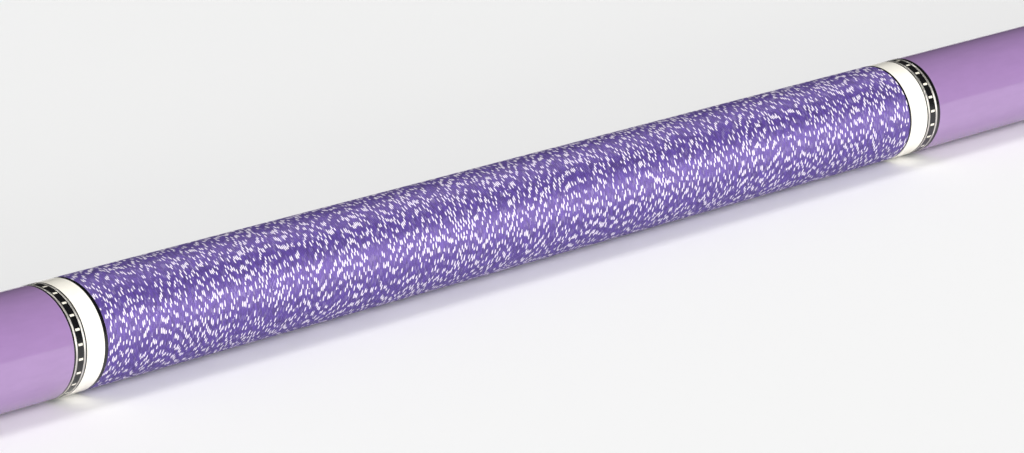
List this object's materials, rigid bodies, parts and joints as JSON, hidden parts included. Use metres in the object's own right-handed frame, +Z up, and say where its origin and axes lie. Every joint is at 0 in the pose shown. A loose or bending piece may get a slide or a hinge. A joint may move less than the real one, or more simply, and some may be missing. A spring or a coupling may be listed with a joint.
{
  "type": "pool cue",
  "caption": "Two-piece pool cue with purple lacquered butt, speckled linen wrap between white collars and dashed ring sets, and a maple shaft that unscrews.",
  "frame": {"origin": "centre of the flat end face of the rubber bumper, at the butt end", "axes": "+X along the cue from the butt to the tip; +Z up, with the cue lying level; every section is round about X"},
  "size_m": [1.473, 0.032, 0.032],
  "materials": {
    "lacquer": "maple stained lavender under a clear gloss lacquer",
    "white_collar": "polished ivory-white resin",
    "white_inlay": "ivory-white resin cast in the windows and polished flush",
    "black_ring": "polished black phenolic",
    "silver_ring": "turned and polished nickel silver",
    "linen_wrap": "wound purple linen thread with white flecks, pressed",
    "maple_core": "bare turned maple",
    "maple_shaft": "hard maple, sealed and waxed",
    "steel": "machined stainless steel",
    "brass": "machined brass",
    "rubber": "moulded matt rubber",
    "fibre_pad": "vulcanised fibre",
    "leather_tip": "pressed leather, blue-grey with chalk"
  },
  "bodies": {
    "butt": {"butt_sleeve": "lacquer", "forearm": "lacquer", "butt_cap": "white_collar", "lower_collar": "white_collar", "upper_collar": "white_collar", "joint_collar": "white_collar", "butt_dash_inlay": "white_inlay", "lower_dash_inlay": "white_inlay", "upper_dash_inlay": "white_inlay", "joint_dash_inlay": "white_inlay", "butt_dash_ring": "black_ring", "lower_dash_ring": "black_ring", "upper_dash_ring": "black_ring", "joint_dash_ring": "black_ring", "lower_edge_ring": "black_ring", "upper_edge_ring": "black_ring", "lower_spacer": "black_ring", "upper_spacer": "black_ring", "lower_wrap_stop": "black_ring", "upper_wrap_stop": "black_ring", "butt_inner_silver": "silver_ring", "butt_outer_silver": "silver_ring", "lower_inner_silver": "silver_ring", "lower_outer_silver": "silver_ring", "upper_inner_silver": "silver_ring", "upper_outer_silver": "silver_ring", "joint_inner_silver": "silver_ring", "joint_outer_silver": "silver_ring", "wrap": "linen_wrap", "handle_core": "maple_core", "handle_stud": "steel", "weight_bolt": "steel", "joint_pin": "steel"},
    "bumper": {"bumper": "rubber"},
    "insert": {"shaft_insert": "brass"},
    "shaft": {"shaft_collar": "white_collar", "shaft_silver": "silver_ring", "shaft": "maple_shaft", "ferrule": "white_collar", "tip_pad": "fibre_pad", "tip": "leather_tip"}
  },
  "joints": [
    {"name": "shaft_travel", "type": "slide", "parent": "butt", "child": "insert", "axis": [1, 0, 0], "range_m": [0, 0.0254]},
    {"name": "shaft_turn", "type": "hinge", "parent": "insert", "child": "shaft", "pos_m": [0.737, 0, 0], "axis": [1, 0, 0], "range_deg": [0, 5040]},
    {"name": "bumper_pull", "type": "slide", "parent": "butt", "child": "bumper", "axis": [-1, 0, 0], "range_m": [0, 0.014]}
  ],
  "couplings": [
    {"joint": "shaft_turn", "follows": "shaft_travel", "rad_per_m": 3463.2}
  ]
}
